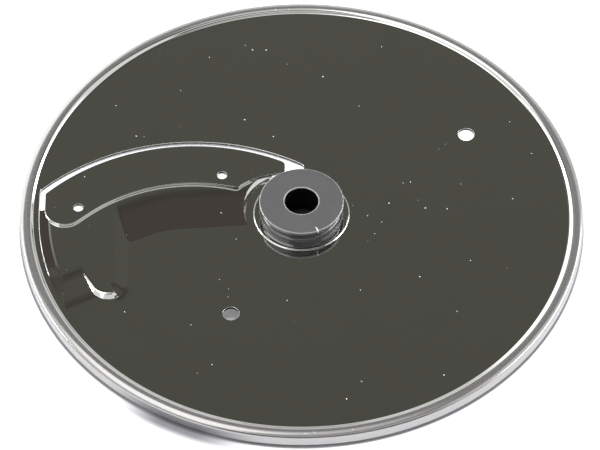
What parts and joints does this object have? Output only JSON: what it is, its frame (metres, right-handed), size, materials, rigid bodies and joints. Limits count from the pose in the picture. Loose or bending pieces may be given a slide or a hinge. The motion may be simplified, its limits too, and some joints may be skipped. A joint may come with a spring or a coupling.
{
  "type": "food processor slicing disc",
  "caption": "Round steel slicing disc for a food processor: rolled rim, crescent blade over a curved slot, grooved hub.",
  "frame": {"origin": "on the disc's axis, at the plane of the rim's resting edge", "axes": "+Z along the axis, towards the face that carries the blade; the blade lies on the -X side"},
  "size_m": [0.18, 0.18, 0.0108],
  "materials": {
    "plate_steel": "mirror-polished stainless sheet, satin on the rolled rim",
    "blade_steel": "polished stainless blade strip, ground along the edge",
    "hub_plastic": "satin grey moulded plastic"
  },
  "bodies": {
    "root": {"disc_plate": "plate_steel", "slicing_blade": "blade_steel", "hub": "hub_plastic"}
  },
  "joints": []
}
